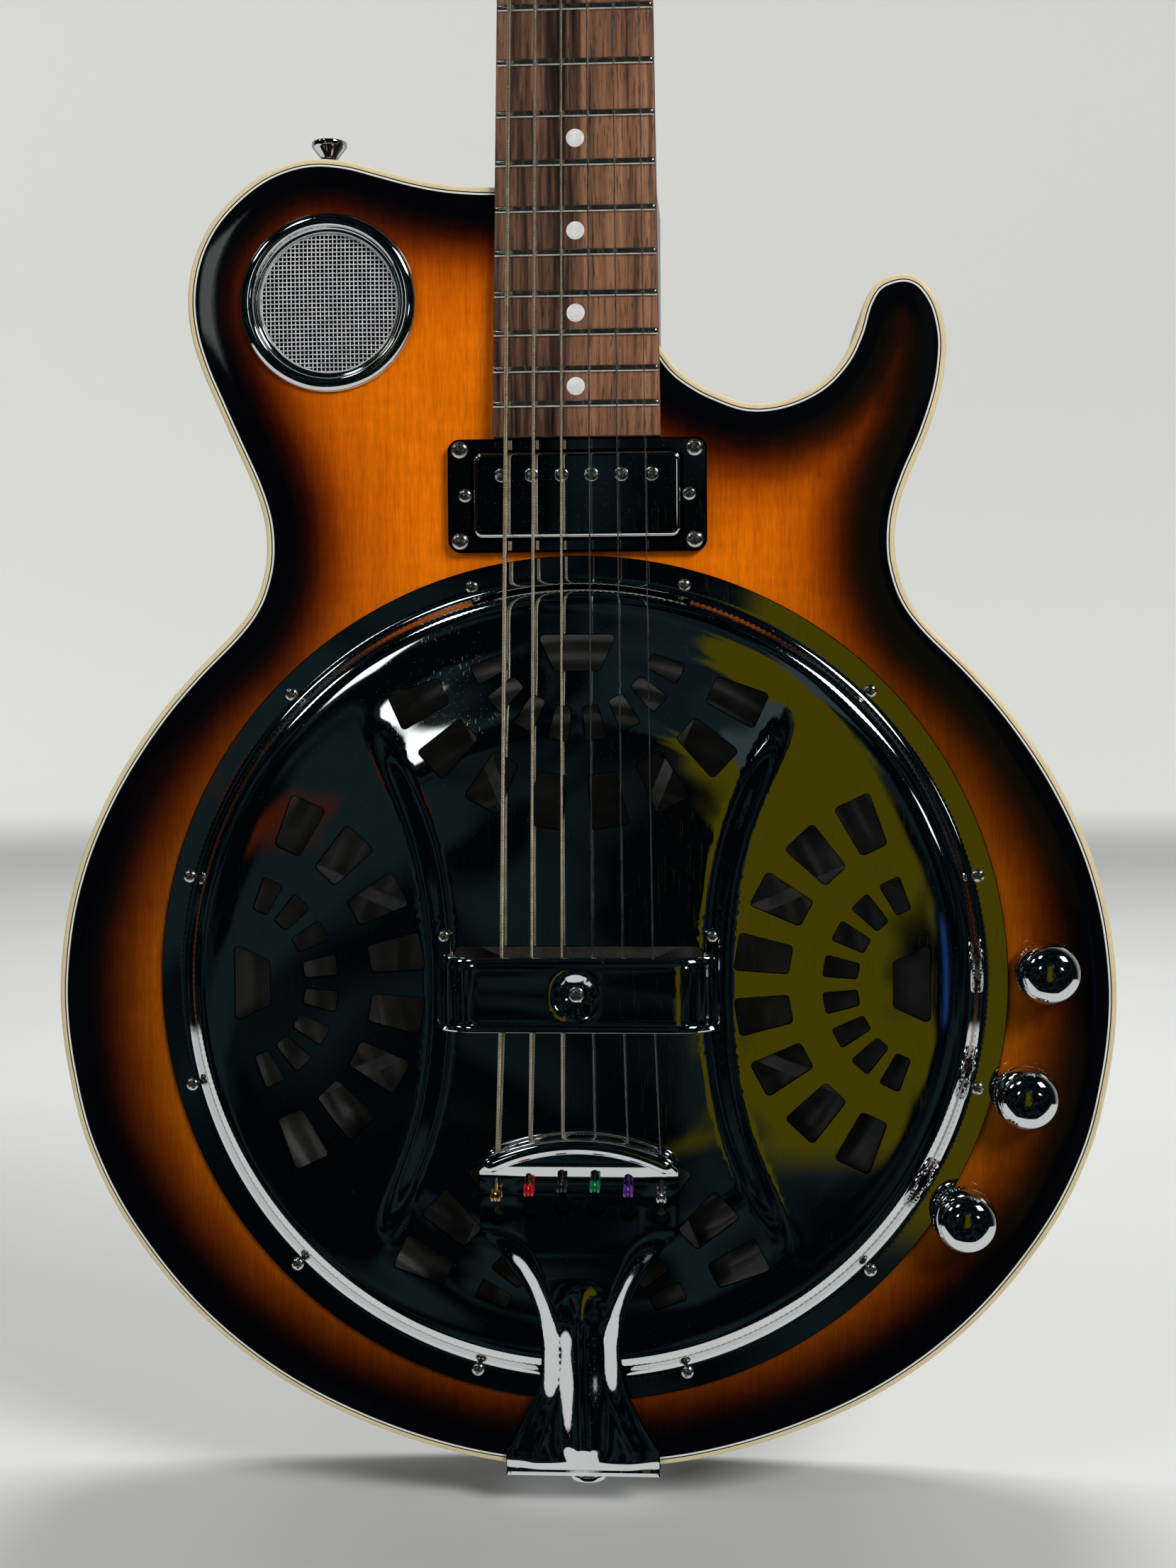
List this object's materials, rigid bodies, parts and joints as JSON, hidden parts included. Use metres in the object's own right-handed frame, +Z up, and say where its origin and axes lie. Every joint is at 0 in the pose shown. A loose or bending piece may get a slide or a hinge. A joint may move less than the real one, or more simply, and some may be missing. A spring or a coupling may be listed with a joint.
{
  "type": "resonator guitar",
  "caption": "Thin-body electric resonator guitar with a cutaway, sunburst top, round metal cover plate over a spun cone, neck pickup, fixed tailpiece, turning knobs and tuners.",
  "frame": {"origin": "centre of the rim of the head of the strap button at the tail end, on the centreline and at half the body's depth", "axes": "+Z up the neck towards the headstock, -Y out of the playing face, +X towards the treble side with the cutaway and the control knobs"},
  "size_m": [0.358, 0.1003, 1.0021],
  "materials": {
    "body_top": "gloss sunburst lacquer",
    "body_back": "gloss lacquer",
    "body_sides": "gloss lacquer",
    "linings": "raw",
    "neck_block": "raw",
    "tail_block": "raw",
    "soundwell": "raw",
    "body_braces": "raw",
    "binding_top": "gloss",
    "binding_back": "gloss",
    "purfling_white": "gloss",
    "neck": "gloss lacquer",
    "truss_rod": "satin",
    "fretboard": "satin oiled",
    "frets": "polished",
    "position_dots": "gloss",
    "nut": "satin",
    "truss_rod_cover": "gloss",
    "cover_plate": "mirror",
    "cover_plate_screws": "mirror",
    "palm_rest": "mirror",
    "resonator_cone": "spun satin",
    "spider_bridge": "cast satin",
    "saddle": "raw",
    "tension_screw": "satin",
    "tailpiece": "mirror",
    "ball_ends": "satin",
    "strap_buttons": "mirror",
    "pickup_ring": "mirror",
    "pickup_cover": "mirror",
    "pickup_coils": "matt",
    "pickup_screws": "mirror",
    "soundhole_ring": "mirror",
    "soundhole_mesh": "woven",
    "strings_wound": "wound",
    "strings_plain": "polished",
    "tuner_housings": "mirror",
    "tuner_bushings": "mirror",
    "potentiometers": "satin",
    "output_jack": "mirror",
    "jack_plate": "mirror",
    "wiring": "matt",
    "knob_volume": "mirror",
    "knob_tone": "mirror",
    "knob_blend": "mirror",
    "pot_shaft_volume": "satin",
    "pot_shaft_tone": "satin",
    "pot_shaft_blend": "satin",
    "tuner_post_1": "mirror",
    "tuner_post_2": "mirror",
    "tuner_post_3": "mirror",
    "tuner_post_4": "mirror",
    "tuner_post_5": "mirror",
    "tuner_post_6": "mirror",
    "tuner_key_1": "mirror",
    "tuner_key_2": "mirror",
    "tuner_key_3": "mirror",
    "tuner_key_4": "mirror",
    "tuner_key_5": "mirror",
    "tuner_key_6": "mirror"
  },
  "bodies": {
    "guitar": {"body_top": "body_top", "body_back": "body_back", "body_sides": "body_sides", "linings": "linings", "neck_block": "neck_block", "tail_block": "tail_block", "soundwell": "soundwell", "body_braces": "body_braces", "binding_top": "binding_top", "binding_back": "binding_back", "purfling_white": "purfling_white", "neck": "neck", "truss_rod": "truss_rod", "fretboard": "fretboard", "frets": "frets", "position_dots": "position_dots", "nut": "nut", "truss_rod_cover": "truss_rod_cover", "cover_plate": "cover_plate", "cover_plate_screws": "cover_plate_screws", "palm_rest": "palm_rest", "resonator_cone": "resonator_cone", "spider_bridge": "spider_bridge", "saddle": "saddle", "tension_screw": "tension_screw", "tailpiece": "tailpiece", "ball_ends": "ball_ends", "strap_buttons": "strap_buttons", "pickup_ring": "pickup_ring", "pickup_cover": "pickup_cover", "pickup_coils": "pickup_coils", "pickup_screws": "pickup_screws", "soundhole_ring": "soundhole_ring", "soundhole_mesh": "soundhole_mesh", "strings_wound": "strings_wound", "strings_plain": "strings_plain", "tuner_housings": "tuner_housings", "tuner_bushings": "tuner_bushings", "potentiometers": "potentiometers", "output_jack": "output_jack", "jack_plate": "jack_plate", "wiring": "wiring"},
    "volume_control": {"knob_volume": "knob_volume", "pot_shaft_volume": "pot_shaft_volume"},
    "tone_control": {"knob_tone": "knob_tone", "pot_shaft_tone": "pot_shaft_tone"},
    "blend_control": {"knob_blend": "knob_blend", "pot_shaft_blend": "pot_shaft_blend"},
    "key_1": {"tuner_key_1": "tuner_key_1"},
    "post_1": {"tuner_post_1": "tuner_post_1"},
    "key_2": {"tuner_key_2": "tuner_key_2"},
    "post_2": {"tuner_post_2": "tuner_post_2"},
    "key_3": {"tuner_key_3": "tuner_key_3"},
    "post_3": {"tuner_post_3": "tuner_post_3"},
    "key_4": {"tuner_key_4": "tuner_key_4"},
    "post_4": {"tuner_post_4": "tuner_post_4"},
    "key_5": {"tuner_key_5": "tuner_key_5"},
    "post_5": {"tuner_post_5": "tuner_post_5"},
    "key_6": {"tuner_key_6": "tuner_key_6"},
    "post_6": {"tuner_post_6": "tuner_post_6"}
  },
  "joints": [
    {"name": "volume_turn", "type": "hinge", "parent": "guitar", "child": "volume_control", "pos_m": [0.155, -0.03, 0.1839], "axis": [0, -1, 0], "range_deg": [-150, 150]},
    {"name": "tone_turn", "type": "hinge", "parent": "guitar", "child": "tone_control", "pos_m": [0.148, -0.03, 0.1424], "axis": [0, -1, 0], "range_deg": [-150, 150]},
    {"name": "blend_turn", "type": "hinge", "parent": "guitar", "child": "blend_control", "pos_m": [0.128, -0.03, 0.1014], "axis": [0, -1, 0], "range_deg": [-150, 150]},
    {"name": "key_1_turn", "type": "hinge", "parent": "guitar", "child": "key_1", "pos_m": [0.028, 0.01758, 0.87528], "axis": [1, 0, 0], "continuous": true},
    {"name": "post_1_turn", "type": "hinge", "parent": "guitar", "child": "post_1", "pos_m": [0.028, -0.0047, 0.87332], "axis": [0, -0.9655, 0.2605], "continuous": true},
    {"name": "key_2_turn", "type": "hinge", "parent": "guitar", "child": "key_2", "pos_m": [0.028, 0.028, 0.9139], "axis": [1, 0, 0], "continuous": true},
    {"name": "post_2_turn", "type": "hinge", "parent": "guitar", "child": "post_2", "pos_m": [0.028, 0.00572, 0.91194], "axis": [0, -0.9655, 0.2605], "continuous": true},
    {"name": "key_3_turn", "type": "hinge", "parent": "guitar", "child": "key_3", "pos_m": [0.028, 0.03842, 0.95252], "axis": [1, 0, 0], "continuous": true},
    {"name": "post_3_turn", "type": "hinge", "parent": "guitar", "child": "post_3", "pos_m": [0.028, 0.01614, 0.95056], "axis": [0, -0.9655, 0.2605], "continuous": true},
    {"name": "key_4_turn", "type": "hinge", "parent": "guitar", "child": "key_4", "pos_m": [-0.028, 0.03842, 0.95252], "axis": [-1, 0, 0], "continuous": true},
    {"name": "post_4_turn", "type": "hinge", "parent": "guitar", "child": "post_4", "pos_m": [-0.028, 0.01614, 0.95056], "axis": [0, -0.9655, 0.2605], "continuous": true},
    {"name": "key_5_turn", "type": "hinge", "parent": "guitar", "child": "key_5", "pos_m": [-0.028, 0.028, 0.9139], "axis": [-1, 0, 0], "continuous": true},
    {"name": "post_5_turn", "type": "hinge", "parent": "guitar", "child": "post_5", "pos_m": [-0.028, 0.00572, 0.91194], "axis": [0, -0.9655, 0.2605], "continuous": true},
    {"name": "key_6_turn", "type": "hinge", "parent": "guitar", "child": "key_6", "pos_m": [-0.028, 0.01758, 0.87528], "axis": [-1, 0, 0], "continuous": true},
    {"name": "post_6_turn", "type": "hinge", "parent": "guitar", "child": "post_6", "pos_m": [-0.028, -0.0047, 0.87332], "axis": [0, -0.9655, 0.2605], "continuous": true}
  ],
  "couplings": [
    {"joint": "post_1_turn", "follows": "key_1_turn", "ratio": 0.071429},
    {"joint": "post_2_turn", "follows": "key_2_turn", "ratio": 0.071429},
    {"joint": "post_3_turn", "follows": "key_3_turn", "ratio": 0.071429},
    {"joint": "post_4_turn", "follows": "key_4_turn", "ratio": -0.071429},
    {"joint": "post_5_turn", "follows": "key_5_turn", "ratio": -0.071429},
    {"joint": "post_6_turn", "follows": "key_6_turn", "ratio": -0.071429}
  ]
}
